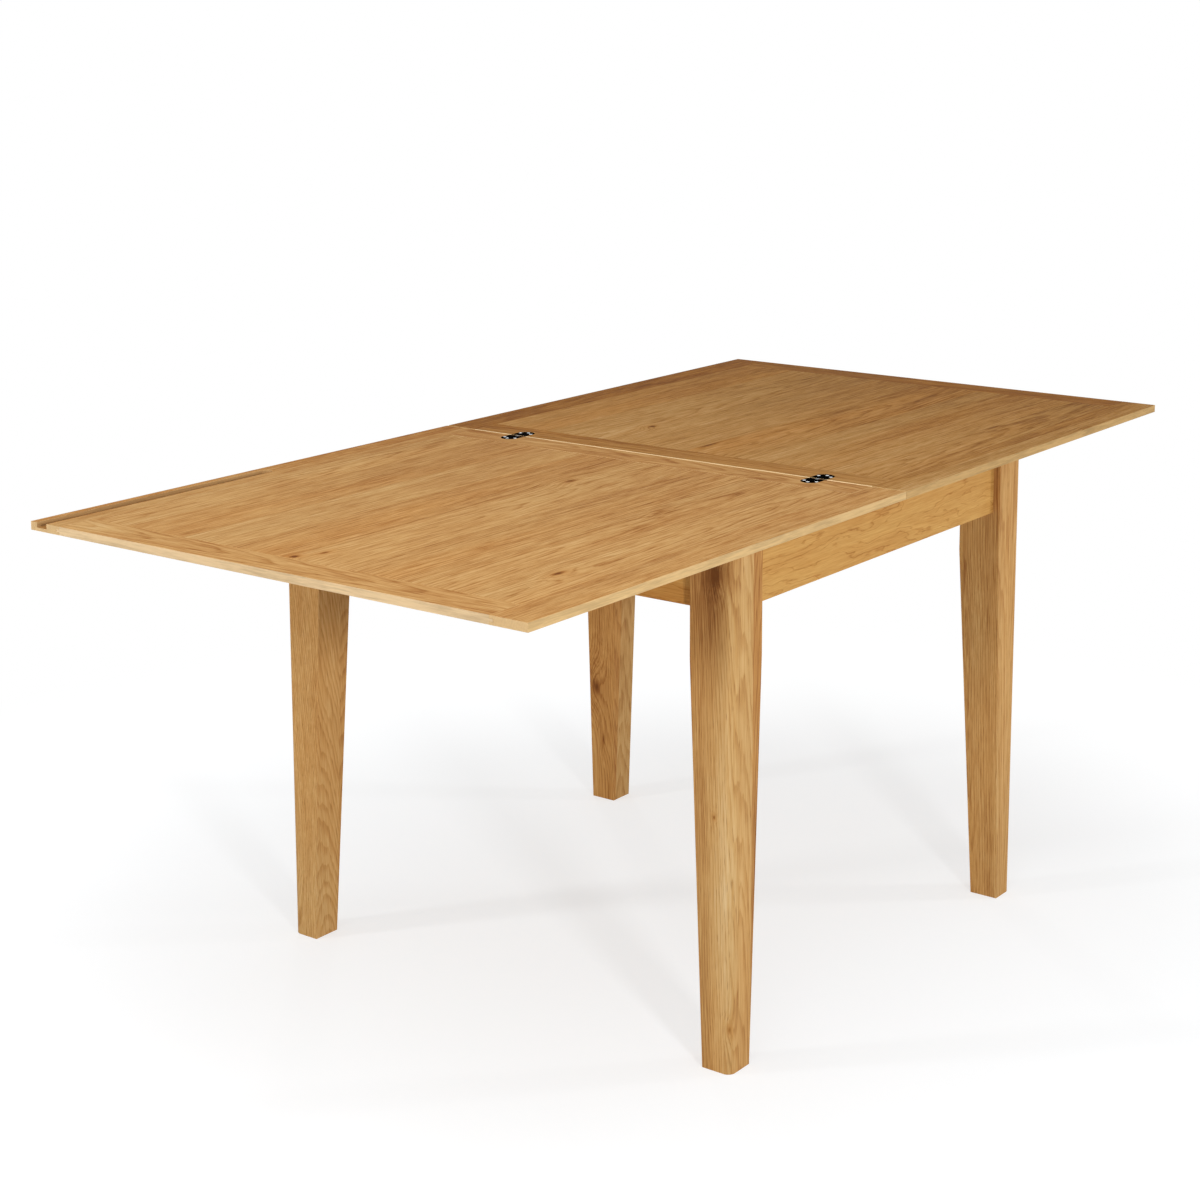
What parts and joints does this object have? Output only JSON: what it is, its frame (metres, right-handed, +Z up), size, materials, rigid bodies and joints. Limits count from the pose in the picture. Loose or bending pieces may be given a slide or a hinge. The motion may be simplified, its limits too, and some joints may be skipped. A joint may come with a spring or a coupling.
{
  "type": "flip-top dining table",
  "caption": "Oak dining table whose framed top slides along its base and has a hinged flap that folds over onto it; square base with tapered legs.",
  "frame": {"origin": "on the floor under the middle of the open top", "axes": "+Y along the open top from the flap to the fixed leaf, +X across it, +Z up"},
  "size_m": [0.9, 1.8, 0.77],
  "materials": {
    "base_oak": "satin lacquered oak",
    "top_oak_panel": "satin lacquered oak veneer",
    "top_oak_rail": "satin lacquered oak",
    "inner_wood": "plain planed hardwood",
    "hinge_chrome": "polished dark nickel plate",
    "screw_chrome": "polished plate",
    "zinc_steel": "bright zinc plate",
    "glide_felt": "dense felt"
  },
  "bodies": {
    "base": {"leg_front_left": "base_oak", "leg_front_right": "base_oak", "leg_back_left": "base_oak", "leg_back_right": "base_oak", "apron_front": "base_oak", "apron_back": "base_oak", "apron_left": "base_oak", "apron_right": "base_oak", "guide_rail_left": "inner_wood", "guide_rail_right": "inner_wood", "corner_block_front_left": "inner_wood", "corner_block_front_right": "inner_wood", "corner_block_back_left": "inner_wood", "corner_block_back_right": "inner_wood", "hanger_bolts": "zinc_steel", "bolt_washers": "zinc_steel", "bolt_nuts": "zinc_steel", "block_screws": "zinc_steel", "guide_screws": "zinc_steel", "glide_strips": "glide_felt"},
    "fixed_leaf": {"leaf_panel": "top_oak_panel", "leaf_left_rail": "top_oak_rail", "leaf_right_rail": "top_oak_rail", "leaf_end_rail": "top_oak_rail", "leaf_seam_rail": "top_oak_rail", "runner_left": "inner_wood", "runner_right": "inner_wood", "runner_screws": "zinc_steel", "leaf_hinge_plates": "hinge_chrome", "leaf_hinge_pins": "hinge_chrome", "leaf_hinge_screws": "screw_chrome"},
    "links": {"hinge_links": "hinge_chrome"},
    "flap": {"flap_panel": "top_oak_panel", "flap_left_rail": "top_oak_rail", "flap_right_rail": "top_oak_rail", "flap_end_rail": "top_oak_rail", "flap_seam_rail": "top_oak_rail", "flap_hinge_plates": "hinge_chrome", "flap_hinge_pins": "hinge_chrome", "flap_hinge_screws": "screw_chrome"}
  },
  "joints": [
    {"name": "top_slide", "type": "slide", "parent": "base", "child": "fixed_leaf", "axis": [0, 1, 0], "range_m": [-0.45, 0]},
    {"name": "link_turn", "type": "hinge", "parent": "fixed_leaf", "child": "links", "pos_m": [0, 0.00265, 0.7675], "axis": [-1, 0, 0], "range_deg": [0, 90]},
    {"name": "flap_turn", "type": "hinge", "parent": "links", "child": "flap", "pos_m": [0, -0.00265, 0.7675], "axis": [-1, 0, 0], "range_deg": [0, 90]}
  ]
}
